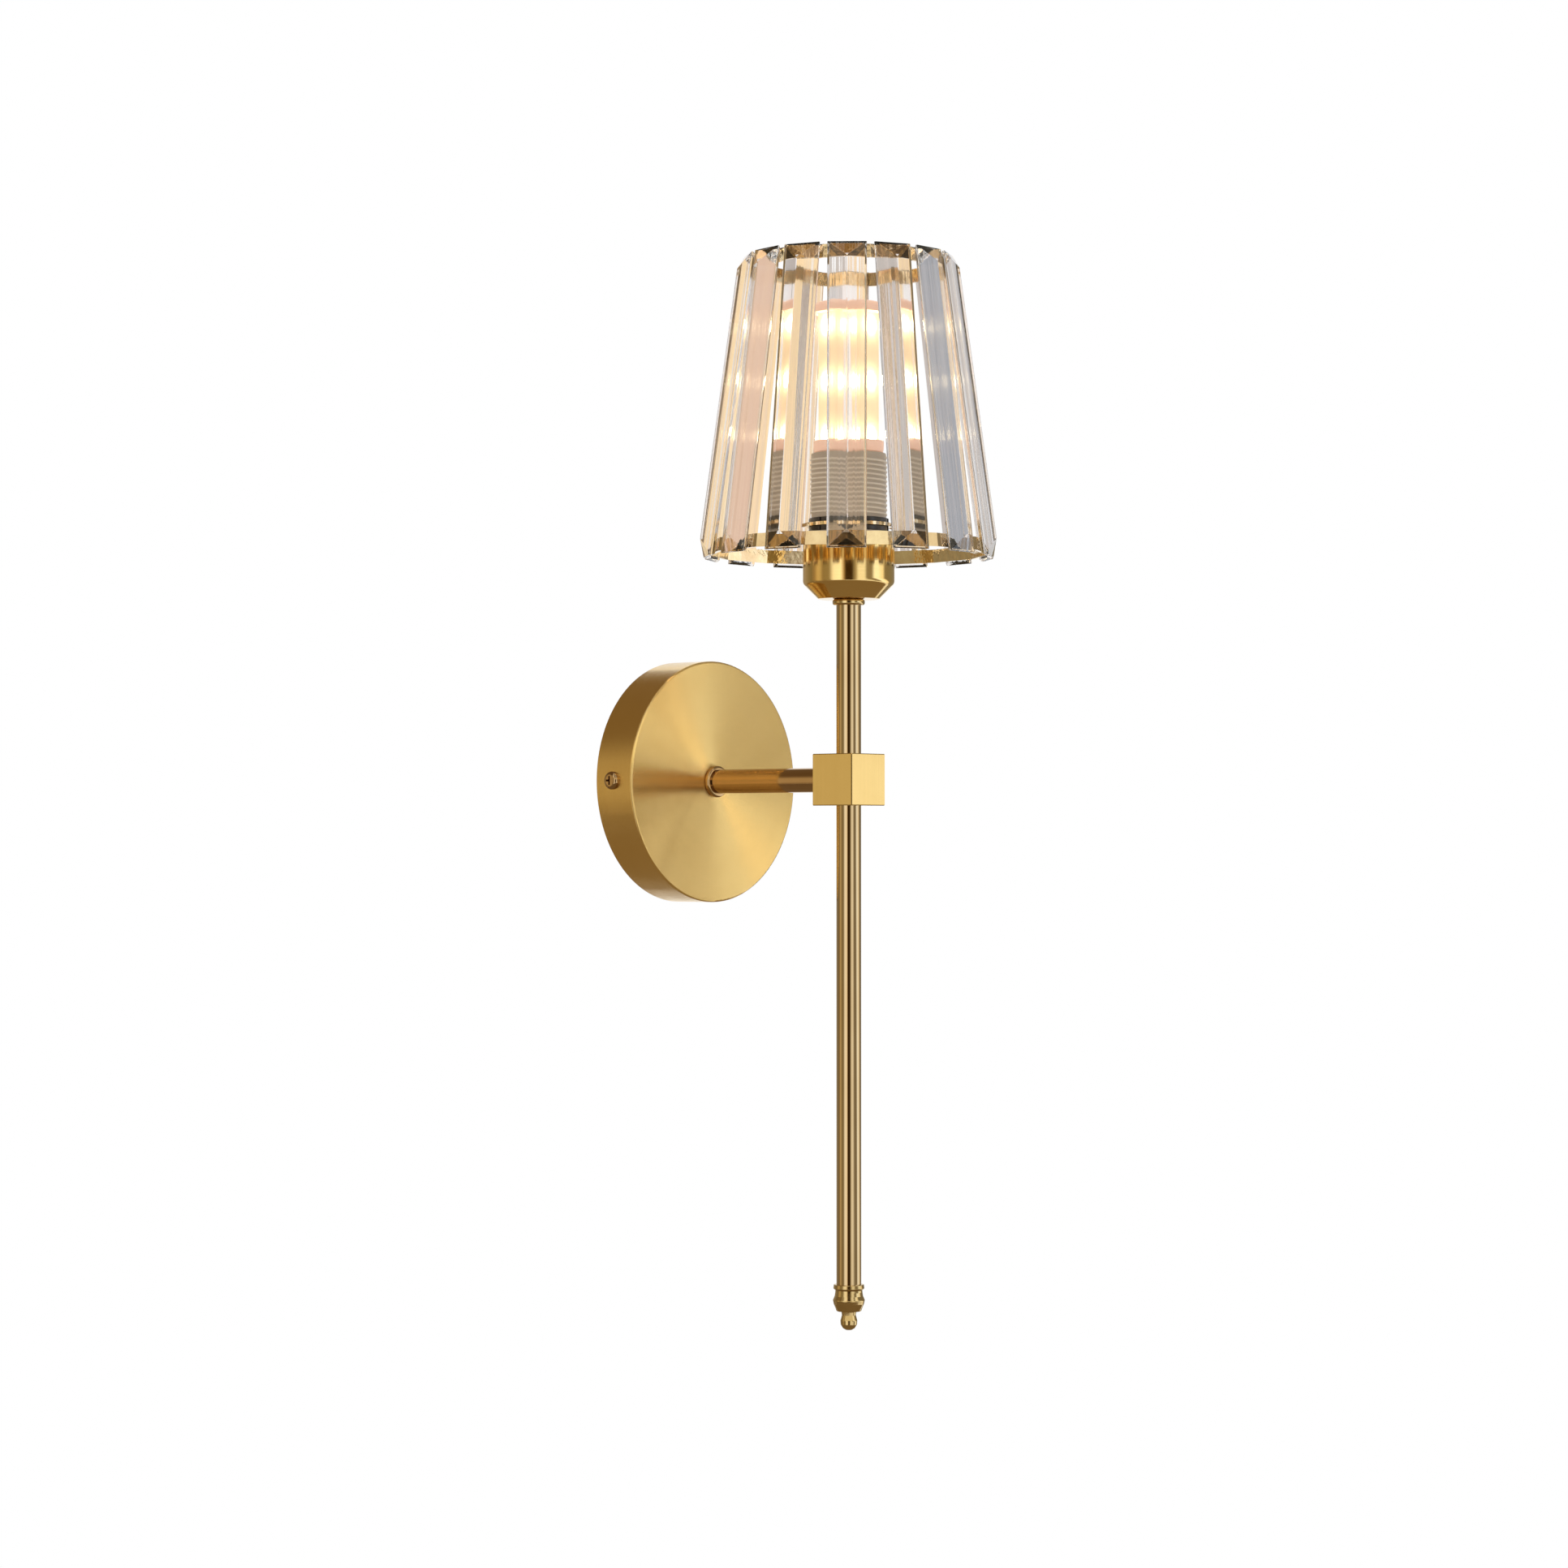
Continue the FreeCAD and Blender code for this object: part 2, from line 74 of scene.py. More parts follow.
class Wire:
    """An output socket with the arithmetic that shader maths needs."""

    def __init__(self, sheet: "Sheet", socket: bpy.types.NodeSocket) -> None:
        """Holds a socket and the sheet that it belongs to."""
        self.sheet = sheet
        self.socket = socket

    def _math(self, operation: str, first: Any, second: Any = None) -> "Wire":
        """Adds one Math node.

        Args:
            operation: The node's operation.
            first: The first value or wire.
            second: The second value or wire, if the operation takes one.

        Returns:
            The node's output.
        """
        values = {0: first} if second is None else {0: first, 1: second}
        return self.sheet.add("ShaderNodeMath", {"operation": operation}, values)[0]

    def __add__(self, other: Any) -> "Wire":
        """self + other."""
        return self._math("ADD", self, other)

    def __radd__(self, other: Any) -> "Wire":
        """other + self."""
        return self._math("ADD", other, self)

    def __sub__(self, other: Any) -> "Wire":
        """self - other."""
        return self._math("SUBTRACT", self, other)

    def __rsub__(self, other: Any) -> "Wire":
        """other - self."""
        return self._math("SUBTRACT", other, self)

    def __mul__(self, other: Any) -> "Wire":
        """self * other."""
        return self._math("MULTIPLY", self, other)

    def __rmul__(self, other: Any) -> "Wire":
        """other * self."""
        return self._math("MULTIPLY", other, self)

    def __truediv__(self, other: Any) -> "Wire":
        """self / other."""
        return self._math("DIVIDE", self, other)

    def __rtruediv__(self, other: Any) -> "Wire":
        """other / self."""
        return self._math("DIVIDE", other, self)

    def power(self, other: Any) -> "Wire":
        """self to the power of other."""
        return self._math("POWER", self, other)

    def least(self, other: Any) -> "Wire":
        """The smaller of the two."""
        return self._math("MINIMUM", self, other)

    def most(self, other: Any) -> "Wire":
        """The larger of the two."""
        return self._math("MAXIMUM", self, other)

    def wrapped(self, period: float) -> "Wire":
        """The rest of self after whole periods, from 0 up to the period."""
        return self._math("FLOORED_MODULO", self, period)

    def size(self) -> "Wire":
        """The absolute value."""
        return self._math("ABSOLUTE", self)

    def floor(self) -> "Wire":
        """The whole number at or below self."""
        return self._math("FLOOR", self)

    def root(self) -> "Wire":
        """The square root."""
        return self._math("SQRT", self)

    def angle_from(self, other: Any) -> "Wire":
        """atan2(self, other), in radians."""
        return self._math("ARCTAN2", self, other)

    def smooth(self, low: float, high: float) -> "Wire":
        """0 at low and 1 at high, with soft ends."""
        return self.sheet.add(
            "ShaderNodeMapRange",
            {"interpolation_type": "SMOOTHSTEP"},
            {"Value": self, "From Min": low, "From Max": high},
        )[0]


class Sheet:
    """A node tree, with one way to add a node."""

    def __init__(self, tree: bpy.types.NodeTree) -> None:
        """Starts on an empty tree."""
        self.tree = tree
        tree.nodes.clear()

    def _feed(self, socket: bpy.types.NodeSocket, value: Any) -> None:
        """Links a wire to a socket, or sets the socket's own value."""
        if isinstance(value, Wire):
            self.tree.links.new(value.socket, socket)
        elif hasattr(socket, "default_value"):
            if isinstance(value, (tuple, list)) and len(value) == 3 and socket.type == "RGBA":
                value = (*value, 1.0)
            socket.default_value = value

    def add(
        self,
        kind: str,
        settings: dict[str, Any] | None = None,
        inputs: dict[str | int, Any] | None = None,
    ) -> list[Wire]:
        """Adds one node.

        Args:
            kind: The node's type name.
            settings: Its own settings, and "stops" for a colour ramp.
            inputs: Values or wires for its sockets, by name or number.

        Returns:
            Its enabled outputs, in order.
        """
        node = self.tree.nodes.new(kind)
        for name, value in (settings or {}).items():
            if name == "stops":
                self._fill_ramp(node.color_ramp, value)
            else:
                setattr(node, name, value)
        for name, value in (inputs or {}).items():
            if isinstance(name, int):
                socket = node.inputs[name]
            else:
                socket = next(s for s in node.inputs if s.name == name and s.enabled)
            self._feed(socket, value)
        return [Wire(self, s) for s in node.outputs if s.enabled]

    @staticmethod
    def _fill_ramp(ramp: bpy.types.ColorRamp, stops: Stops) -> None:
        """Gives a ramp its stops, each a place and a colour; a ramp takes up to 32."""
        while len(ramp.elements) > 1:
            ramp.elements.remove(ramp.elements[-1])
        ramp.elements[0].position = stops[0][0]
        ramp.elements[0].color = (*stops[0][1], 1.0)
        for place, colour in stops[1:]:
            ramp.elements.new(place).color = (*colour, 1.0)

    def mix(self, factor: Any, first: Any, second: Any) -> Wire:
        """Mixes two colours."""
        return self.add(
            "ShaderNodeMix", {"data_type": "RGBA"}, {0: factor, 6: first, 7: second}
        )[0]

    def vector(self, x: Any, y: Any, z: Any) -> Wire:
        """A vector from three numbers or wires."""
        return self.add("ShaderNodeCombineXYZ", {}, {0: x, 1: y, 2: z})[0]

    def read(self, kind: str, *names: str) -> list[Wire]:
        """Adds a node that only gives values, and returns its outputs of these names."""
        outputs = {wire.socket.name: wire for wire in self.add(kind)}
        return [outputs[name] for name in names]

    def point(self) -> Wire:
        """The place of a point, in the object's own frame."""
        return self.read("ShaderNodeTexCoord", "Object")[0]

    def place(self) -> tuple[Wire, Wire, Wire]:
        """The X, Y and Z of that place."""
        return tuple(self.add("ShaderNodeSeparateXYZ", {}, {0: self.point()}))

    def noise(
        self, vector: Wire, scale: float, detail: float = 2.0, roughness: float = 0.5
    ) -> Wire:
        """Noise from 0 to 1."""
        return self.add(
            "ShaderNodeTexNoise",
            {},
            {"Vector": vector, "Scale": scale, "Detail": detail, "Roughness": roughness},
        )[0]

    def bump(self, height: Wire, distance: float = 1.0) -> Wire:
        """A normal from a height and the length, in metres, that a height of 1 stands for."""
        return self.add(
            "ShaderNodeBump", {}, {"Strength": 1.0, "Distance": distance, "Height": height}
        )[0]

    def body(self, **inputs: Any) -> Wire:
        """A Principled shader; _ in a name stands for a space."""
        named = {name.replace("_", " "): value for name, value in inputs.items()}
        return self.add("ShaderNodeBsdfPrincipled", {}, named)[0]

    def glow(self, colour: Any, strength: float = 1.0) -> Wire:
        """A shader that only gives off light."""
        return self.add("ShaderNodeEmission", {}, {"Color": colour, "Strength": strength})[0]

    def blend(self, factor: Wire, first: Wire, second: Wire) -> Wire:
        """Mixes two shaders."""
        return self.add("ShaderNodeMixShader", {}, {0: factor, 1: first, 2: second})[0]

    def surface(self, shader: Wire) -> None:
        """Ends a material's tree in a shader."""
        self.add("ShaderNodeOutputMaterial", {}, {"Surface": shader})


def new_material(name: str) -> tuple[bpy.types.Material, Sheet]:
    """Makes an empty material and its sheet."""
    material = bpy.data.materials.new(name)
    material.use_nodes = True
    return material, Sheet(material.node_tree)


def ring_turn(x: Wire, depth: Wire, count: int) -> tuple[Wire, float]:
    """The turn of a point round the rods' axis, for like pieces that stand in a ring.

    Args:
        x: The point's X.
        depth: Its Y, from the axis.
        count: The number of pieces.

    Returns:
        The turn, which is half a step at the middle of the first piece, and the step.
    """
    step = FULL_TURN / count
    return depth.angle_from(x) - math.radians(FIRST_ANGLE) + step / 2, step


# ---------------------------------------------------------------- finishes


@dataclass(frozen=True)
class Brass:
    """Lacquered brass with fine tool lines."""

    name: str
    colour: Colour
    shade: Colour
    roughness: float
    grain: Grain
    line_height: float = 0.006 * MM
    groove_slope: float = 0.0
    groove_pitch: float = 0.32 * MM
    rim_share: float = 0.5
    line_pitch: float = 0.35 * MM
    along_scale: float = 6.0
    round_scale: float = 1.5
    face_share: float = 0.5
    mottle_scale: float = 200.0
    line_roughness: float = 0.6
    cloud_scale: float = 38.0
    spot_scale: float = 900.0
    cloud_edges: Span = (0.35, 0.7)
    cloud_tone: float = 0.35
    line_edges: Span = (0.3, 0.75)
    line_tone: float = 0.25
    line_dullness: float = 0.6
    spot_dullness: float = 0.3

    def _line_space(self, sheet: Sheet) -> Wire:
        """A space in which noise runs as lines of this finish's grain."""
        x, y, z = sheet.place()
        fine, slow, even = 1.0 / self.line_pitch, self.along_scale, self.mottle_scale
        if self.grain is Grain.ROUND_FACE:
            radius = (x * x + z * z).root()
            return sheet.vector(radius * fine, x.angle_from(z) * self.round_scale, y * fine)
        if self.grain is Grain.TURNED:
            depth = y - ROD_Y
            radius = (x * x + depth * depth).root()
            around = x.angle_from(depth) * self.round_scale
            return sheet.vector(z * fine, radius * fine * self.face_share, around)
        if self.grain is Grain.DRAWN_UP:
            return sheet.vector(x * fine, y * fine, z * slow)
        if self.grain is Grain.DRAWN_OUT:
            return sheet.vector(x * fine, y * slow, z * fine)
        return sheet.vector(x * even, y * even, z * even)

    def _grooves(self, sheet: Sheet) -> Wire:
        """The height, in metres, of even rings on a face and round its rim."""
        x, y, z = sheet.place()
        across = ((x * x + z * z).root() / self.groove_pitch).wrapped(1.0) - 0.5
        along = (y / self.groove_pitch).wrapped(1.0) - 0.5
        hollow = across * across + along * along * self.rim_share
        return hollow * (self.groove_slope * self.groove_pitch)

    def make(self) -> bpy.types.Material:
        """Builds the material."""
        material, sheet = new_material(self.name)
        spot = sheet.point()
        lines = sheet.noise(self._line_space(sheet), 1.0, 3.0, self.line_roughness)
        cloud = sheet.noise(spot, self.cloud_scale, 3.0)
        spots = sheet.noise(spot, self.spot_scale)
        cloudy = cloud.smooth(*self.cloud_edges) * self.cloud_tone
        tone = cloudy + lines.smooth(*self.line_edges) * self.line_tone
        uneven = (lines - 0.5) * self.line_dullness + (spots - 0.5) * self.spot_dullness
        relief = lines * self.line_height
        if self.groove_slope:
            relief = relief + self._grooves(sheet)
        sheet.surface(sheet.body(
            Base_Color=sheet.mix(tone, self.colour, self.shade),
            Metallic=1.0,
            Roughness=(uneven + 1.0) * self.roughness,
            Normal=sheet.bump(relief),
        ))
        return material


@dataclass(frozen=True)
class Steel:
    """Bright zinc plate with a faint crystal pattern."""

    name: str = "zinc_plate"
    colour: Colour = (0.62, 0.63, 0.65)
    shade: Colour = (0.48, 0.50, 0.54)
    flake_scale: float = 420.0
    flake_tone: float = 0.5
    wear_scale: float = 90.0
    wear_height: float = 0.02 * MM
    wear_dullness: float = 0.14
    roughness: float = 0.24

    def make(self) -> bpy.types.Material:
        """Builds the material."""
        material, sheet = new_material(self.name)
        spot = sheet.point()
        flakes = sheet.add("ShaderNodeTexVoronoi", {}, {"Vector": spot, "Scale": self.flake_scale})
        grey = sheet.add("ShaderNodeRGBToBW", {}, {0: flakes[1]})[0]
        wear = sheet.noise(spot, self.wear_scale, 4.0)
        sheet.surface(sheet.body(
            Base_Color=sheet.mix(grey * self.flake_tone, self.colour, self.shade),
            Metallic=1.0,
            Roughness=wear * self.wear_dullness + self.roughness,
            Normal=sheet.bump(wear, self.wear_height),
        ))
        return material


@dataclass(frozen=True)
class Moulded:
    """Moulded plastic or ceramic with a faint skin texture."""

    name: str
    colour: Colour
    shade: Colour
    roughness: float
    coat: float = 0.0
    cloud_scale: float = 60.0
    cloud_edges: Span = (0.3, 0.7)
    cloud_tone: float = 0.6
    skin_scale: float = 1500.0
    skin_height: float = 0.02 * MM
    skin_dullness: float = 0.12

    def make(self) -> bpy.types.Material:
        """Builds the material."""
        material, sheet = new_material(self.name)
        spot = sheet.point()
        cloud = sheet.noise(spot, self.cloud_scale, 3.0)
        skin = sheet.noise(spot, self.skin_scale)
        tone = cloud.smooth(*self.cloud_edges) * self.cloud_tone
        sheet.surface(sheet.body(
            Base_Color=sheet.mix(tone, self.colour, self.shade),
            Roughness=(skin - 0.5) * self.skin_dullness + self.roughness,
            Coat_Weight=self.coat,
            Normal=sheet.bump(skin, self.skin_height),
        ))
        return material


@dataclass(frozen=True)
class Crystal:
    """Clear cut glass, polished, with fine and broad flutes down each bar."""

    name: str = "cut_crystal"
    clear: Colour = (1.0, 0.985, 0.975)
    tinted: Colour = (0.985, 0.945, 0.93)
    tint_edges: Span = (0.4, 0.6)
    index: float = 1.54
    fine_flute: float = 1.5 * MM
    fine_height: float = 0.07 * MM
    fine_run: float = 2.0
    broad_flute: float = 4.5 * MM
    broad_height: float = 0.34 * MM
    broad_run: float = 4.0
    bar_shift: float = 7.3
    frost_scale: float = 6000.0
    frost_edges: Span = (0.50, 0.60)
    haze: float = 0.12
    polish: float = 0.01

    def make(self) -> bpy.types.Material:
        """Builds the material."""
        material, sheet = new_material(self.name)
        x, y, z = sheet.place()
        depth = y - ROD_Y
        turn, step = ring_turn(x, depth, BAR_COUNT)
        radius = (x * x + depth * depth).root()
        aside = radius * (turn.wrapped(step) - step / 2)
        bar = (turn / step).floor() * self.bar_shift
        fine_space = sheet.vector(aside / self.fine_flute, bar, z * self.fine_run)
        broad_space = sheet.vector(aside / self.broad_flute, bar, z * self.broad_run)
        fine = sheet.noise(fine_space, 1.0, 1.0)
        broad = sheet.noise(broad_space, 1.0, 1.0)
        frost = sheet.noise(sheet.point(), self.frost_scale)
        sheet.surface(sheet.body(
            Base_Color=sheet.mix(broad.smooth(*self.tint_edges), self.clear, self.tinted),
            Roughness=frost.smooth(*self.frost_edges) * self.haze + self.polish,
            IOR=self.index,
            Transmission_Weight=1.0,
            Normal=sheet.bump(fine * self.fine_height + broad * self.broad_height),
        ))
        return material


@dataclass(frozen=True)
class ClearCover:
    """The lamp's thin clear tube."""

    name: str = "lamp_cover_clear"
    colour: Colour = (1.0, 0.93, 0.82)
    haze_scale: float = 120.0
    haze_dullness: float = 0.05
    roughness: float = 0.05
    haze_alpha: float = 0.02
    alpha: float = 0.015

    def make(self) -> bpy.types.Material:
        """Builds the material."""
        material, sheet = new_material(self.name)
        haze = sheet.noise(sheet.point(), self.haze_scale)
        sheet.surface(sheet.body(
            Base_Color=self.colour,
            Roughness=haze * self.haze_dullness + self.roughness,
            Alpha=haze * self.haze_alpha + self.alpha,
        ))
        return material


@dataclass(frozen=True)
class LampGlow:
    """The lamp's board, with a painted glow: warm all over, and a painted halo round each light
    point.
    """

    name: str
    rows: tuple[float, ...]
    sides: int
    radius: float
    board: Colour = (0.9, 0.78, 0.62)
    roughness: float = 0.5
    dim: Colour = (0.98, 0.66, 0.32)
    bright: Colour = (1.0, 0.80, 0.42)
    # Strength of the painted glow all over the board.
    base: float = 0.50
    peak: float = 4.5
    spread: float = 4.1 * MM

    def make(self) -> bpy.types.Material:
        """Builds the material."""
        material, sheet = new_material(self.name)
        x, y, z = sheet.place()
        turn, step = ring_turn(x, y - ROD_Y, self.sides)
        aside = (turn.wrapped(step) - step / 2) * self.radius
        above, *others = [(z - row) * (z - row) for row in self.rows]
        for other in others:
            above = above.least(other)
        # The board gives off no light of its own: its warm glow all over and the halo round each
        # light point are painted glow.
        halo = (1.0 / ((aside * aside + above) / self.spread**2 + 1.0)).power(2.0)
        board = sheet.body(
            Base_Color=self.board,
            Roughness=self.roughness,
            Emission_Color=sheet.mix(halo, self.dim, self.bright),
            Emission_Strength=self.base,
        )
        sheet.surface(sheet.blend(halo, board, sheet.glow(self.bright, self.peak)))
        return material


@dataclass(frozen=True)
class Glowing:
    """A surface that gives off light, with a slightly uneven glow: the lamp's light points, and
    painted glow on its housing and top cap.
    """

    name: str
    colour: Colour
    light: Colour
    strength: float
    rim: Colour = (1.0, 0.7, 0.3)
    rim_tone: float = 0.3
    grain_scale: float = 700.0
    grain_dullness: float = 0.1
    roughness: float = 0.35

    def make(self) -> bpy.types.Material:
        """Builds the material."""
        material, sheet = new_material(self.name)
        grain = sheet.noise(sheet.point(), self.grain_scale)
        sheet.surface(sheet.body(
            Base_Color=self.colour,
            Roughness=grain * self.grain_dullness + self.roughness,
            Emission_Color=sheet.mix(grain * self.rim_tone, self.light, self.rim),
            Emission_Strength=self.strength,
        ))
        return material


# ---------------------------------------------------------------- mesh tools


def stand(name: str, data: bpy.types.ID) -> bpy.types.Object:
    """Makes an object of a mesh, a camera or a light, and links it to the scene."""
    item = bpy.data.objects.new(name, data)
    bpy.context.scene.collection.objects.link(item)
    return item


def dress(material: bpy.types.Material, *nodes: str) -> None:
    """Gives CAD nodes their finish."""
    for node in nodes:
        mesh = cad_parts[node].data
        mesh.materials.clear()
        mesh.materials.append(material)
        LOG.info("node %s: %s", node, material.name)


def merged_copy(node: str, name: str) -> bpy.types.Object:
    """A new object with a welded copy of a CAD node's mesh, its flat faces joined.

    Args:
        node: The CAD node.
        name: The new object's name.

    Returns:
        The object, linked to the scene.
    """
    work = bmesh.new()
    work.from_mesh(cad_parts[node].data)
    bmesh.ops.remove_doubles(work, verts=work.verts, dist=1e-6)
    bmesh.ops.dissolve_limit(
        work, angle_limit=math.radians(0.5), verts=work.verts, edges=work.edges
    )
    bmesh.ops.recalc_face_normals(work, faces=work.faces)
    for face in work.faces:
        face.smooth = False
    clean = bpy.data.meshes.new(name)
    work.to_mesh(clean)
    work.free()
    return stand(name, clean)


def baked(piece: bpy.types.Object) -> bpy.types.Object:
    """Applies a piece's modifiers to its mesh."""
    graph = bpy.context.evaluated_depsgraph_get()
    graph.update()
    mesh = bpy.data.meshes.new_from_object(piece.evaluated_get(graph))
    piece.modifiers.clear()
    mesh.name = piece.name
    piece.data = mesh
    return piece


def settle(piece: bpy.types.Object, body: str, nodes: Sequence[str] = ()) -> None:
    """Rides a finished piece on its body and the nodes it stands for."""
    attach(piece, body)
    if nodes:
        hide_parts(*nodes)
    LOG.info("piece %s on %s: %d faces", piece.name, body, len(piece.data.polygons))


class GeometryTree:
    """A Geometry Nodes tree with named inputs, run once on one object."""

    def __init__(self, name: str) -> None:
        """Makes the tree with its geometry input and output."""
        self.group = bpy.data.node_groups.new(name, "GeometryNodeTree")
        self.sheet = Sheet(self.group)
        for way in ("OUTPUT", "INPUT"):
            self.group.interface.new_socket(
                name="Geometry", in_out=way, socket_type="NodeSocketGeometry"
            )
        self.values: dict[str, Any] = {}

    def size(self, name: str, value: float | bpy.types.Material) -> Wire:
        """Adds one named input with its value.

        Args:
            name: The input's name.
            value: A whole number, a number or a material.

        Returns:
            The input as a wire.
        """
        kinds = {int: "NodeSocketInt", float: "NodeSocketFloat"}
        kind = kinds.get(type(value), "NodeSocketMaterial")
        socket = self.group.interface.new_socket(name=name, in_out="INPUT", socket_type=kind)
        self.values[socket.identifier] = value
        return self.sheet.read("NodeGroupInput", name)[0]

    def geometry(self) -> Wire:
        """The geometry that comes in."""
        return self.sheet.read("NodeGroupInput", "Geometry")[0]

    def finish(self, geometry: Wire, material: Wire) -> None:
        """Ends the tree in Realize Instances and Set Material."""
        real = self.sheet.add("GeometryNodeRealizeInstances", {}, {"Geometry": geometry})[0]
        done = self.sheet.add(
            "GeometryNodeSetMaterial", {}, {"Geometry": real, "Material": material}
        )[0]
        self.sheet.add("NodeGroupOutput", {}, {"Geometry": done})

    def run(self, piece: bpy.types.Object, shift: Matrix) -> bpy.types.Object:
        """Runs the tree on a piece, keeps the result as its mesh and moves it to its place."""
        modifier = piece.modifiers.new(self.group.name, "NODES")
        modifier.node_group = self.group
        for identifier, value in self.values.items():
            modifier[identifier] = value
        baked(piece)
        piece.data.transform(shift)
        piece.data.update()
        return piece


@dataclass(frozen=True)
class Thread:
    """A raised thread round the rods' axis: a small ridge swept along a helix."""

    radius: float
    pitch: float
    low: float
    high: float
    ridge: float
    turn_steps: int = 72
    ridge_sides: int = 6

    def wind(self, name: str, material: bpy.types.Material) -> bpy.types.Object:
        """Makes the thread with Geometry Nodes.

        Args:
            name: The new piece's name.
            material: The ridge's material.

        Returns:
            The thread in its place, not yet on a body.
        """
        tree = GeometryTree(name)
        sheet = tree.sheet
        height = self.high - self.low
        around = tree.size("Radius", self.radius)
        rise = tree.size("Height", height)
        turns = tree.size("Turns", height / self.pitch)
        thick = tree.size("Ridge", self.ridge)
        finish = tree.size("Finish", material)
        spiral = sheet.add("GeometryNodeCurveSpiral", {}, {
            "Resolution": self.turn_steps, "Rotations": turns, "Start Radius": around,
            "End Radius": around, "Height": rise,
        })[0]
        profile = sheet.add("GeometryNodeCurvePrimitiveCircle", {}, {
            "Resolution": self.ridge_sides, "Radius": thick,
        })[0]
        swept = sheet.add("GeometryNodeCurveToMesh", {}, {
            "Curve": spiral, "Profile Curve": profile, "Fill Caps": True,
        })[0]
        smooth = sheet.add("GeometryNodeSetShadeSmooth", {}, {"Geometry": swept})[0]
        tree.finish(smooth, finish)
        piece = stand(name, bpy.data.meshes.new(name))
        return tree.run(piece, Matrix.Translation((0, ROD_Y, self.low)))


# ---------------------------------------------------------------- sub-assemblies


@dataclass
class Fixture:
    """The canopy, arm, cube, rods, cup and what is in them."""

    thread: Thread = Thread(18.15 * MM, 2.3 * MM, 127.6 * MM, 155.6 * MM, 0.55 * MM)

    def dress_metal(self) -> None:
        """Gives every metal node of the fixture its finish."""
        canopy = Brass(
            "canopy_satin_brass", (0.89, 0.62, 0.24), (0.82, 0.55, 0.19), 0.14,
            Grain.ROUND_FACE, line_height=0.008 * MM, groove_slope=0.50,
        )
        drawn = Brass(
            "drawn_brass_upright", (0.60, 0.445, 0.245), (0.53, 0.375, 0.19), 0.045,
            Grain.DRAWN_UP, line_height=0.0005 * MM,
        )
        arm = Brass(
            "drawn_brass_arm", (0.52, 0.34, 0.18), (0.42, 0.26, 0.12), 0.06,
            Grain.DRAWN_OUT, line_height=0.0005 * MM,
        )
        turned = Brass(
            "turned_brass_cup", (0.86, 0.62, 0.26), (0.78, 0.52, 0.18), 0.10,
            Grain.TURNED, line_height=0.004 * MM,
        )
        bright = Brass(
            "polished_brass", (0.64, 0.47, 0.22), (0.50, 0.35, 0.14), 0.12,
            Grain.NONE, line_height=0.001 * MM,
        )
        # A darker copy of the polished brass for the arm collar and screw heads: its dark tone is
        # a painted dark reflection.
        dark_reflection_brass = Brass(
            "brass_painted_dark_reflection", (0.54, 0.36, 0.18), (0.32, 0.19, 0.08), 0.05,
            Grain.NONE, line_height=0.001 * MM,
        )
        satin = Brass(
            "cube_satin_brass", (0.81, 0.61, 0.27), (0.73, 0.53, 0.21), 0.14,
            Grain.DRAWN_UP, line_height=0.004 * MM,
        )
        dress(canopy.make(), "canopy")
        dress(drawn.make(), "upper_rod", "lower_rod")
        dress(arm.make(), "arm_tube")
        dress(turned.make(), "lampholder_cup")
        dress(bright.make(), "finial", "rod_top_collar")
        dress(dark_reflection_brass.make(), "arm_collar", "side_screw_left", "side_screw_right")
        dress(satin.make(), "cube_connector")

    def dress_hidden(self) -> None:
        """Gives the hardware and the electrical pieces their finishes."""
        dress(
            Steel().make(), "wall_bracket", "earth_screw", "canopy_lock_washer", "canopy_nut",
            "arm_nipple", "cube_nipples", "top_nipple", "cup_nut", "finial_bush",
        )
        contact = Brass("contact_brass", (0.80, 0.60, 0.28), (0.66, 0.46, 0.2), 0.3, Grain.NONE)
        dress(contact.make(), "screw_shell", "centre_contact", "holder_terminal_screws")
        ceramic = Moulded("white_ceramic", (0.78, 0.76, 0.71), (0.68, 0.66, 0.60), 0.55)
        dress(ceramic.make(), "contact_block", "terminal_block")
        brown = Moulded("brown_wire_cover", (0.14, 0.055, 0.025), (0.10, 0.04, 0.02), 0.4)
        blue = Moulded("blue_wire_cover", (0.02, 0.10, 0.42), (0.015, 0.07, 0.32), 0.4)
        green = Moulded("green_wire_cover", (0.05, 0.26, 0.05), (0.30, 0.42, 0.05), 0.4)
        dress(brown.make(), "live_lead")
        dress(blue.make(), "neutral_lead")
        dress(green.make(), "earth_lead")

    def dress_holder(self) -> None:
        """Gives the lampholder and its ring nuts their finishes."""
        # The grey is set darker than the thread's ridge, so between the ridges it reads as painted
        # shade.
        grey = Moulded("holder_grey", (0.62, 0.52, 0.41), (0.50, 0.42, 0.33), 0.35, 0.2)
        dark = Moulded("ring_nut_dark", (0.022, 0.018, 0.015), (0.035, 0.028, 0.022), 0.32, 0.3)
        dress(grey.make(), "lampholder_base", "lampholder_skirt")
        dress(dark.make(), "lower_ring_nut", "upper_ring_nut")

    def make_thread(self) -> None:
        """Winds the raised thread on the lampholder's skirt."""
        # The ridge is much lighter than the skirt under it: a painted highlight on the ridges,
        # with painted shade between them.
        ridge = Moulded("thread_ridge_painted_highlight", (0.96, 0.86, 0.72), (0.88, 0.78, 0.65), 0.30, 0.3)
        piece = self.thread.wind("lampholder_thread", ridge.make())
        settle(piece, "fixture")


